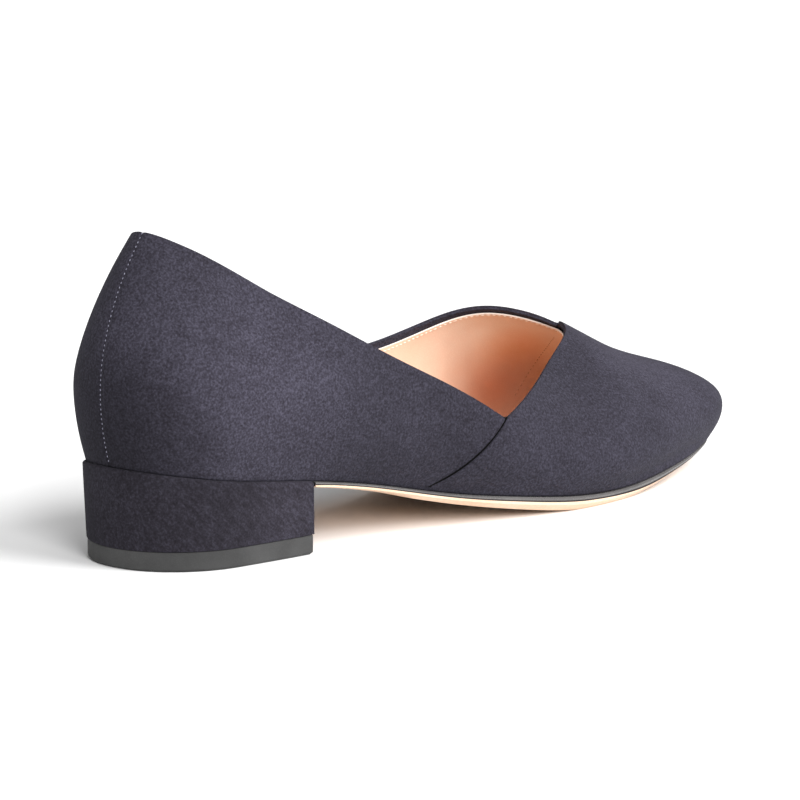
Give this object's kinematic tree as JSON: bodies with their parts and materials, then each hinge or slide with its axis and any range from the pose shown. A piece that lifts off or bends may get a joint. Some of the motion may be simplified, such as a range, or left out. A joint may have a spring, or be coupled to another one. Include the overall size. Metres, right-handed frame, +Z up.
{
  "type": "low block heel pump with a squared toe",
  "caption": "Right slip-on women's pump in suede: asymmetric vamp lapped over the quarter, soft square toe, low covered block heel, leather outsole and leather insole.",
  "frame": {"origin": "middle of the shoe's bounding box, on the floor that heel and forefoot stand on", "axes": "+X from heel to toe, +Y to the medial side (towards the other foot), +Z up"},
  "size_m": [0.2484, 0.082, 0.0911],
  "materials": {
    "suede": "navy suede with a soft cloudy nap",
    "heel_suede": "navy suede, drawn tight over the heel",
    "lining_leather": "smooth peach lining leather",
    "sole_leather": "tan sole leather with a painted dark edge",
    "rubber": "matte dark grey"
  },
  "bodies": {
    "root": {"upper": "suede", "insole": "lining_leather", "outsole": "sole_leather", "heel_block": "heel_suede", "heel_top_piece": "rubber"}
  },
  "joints": []
}
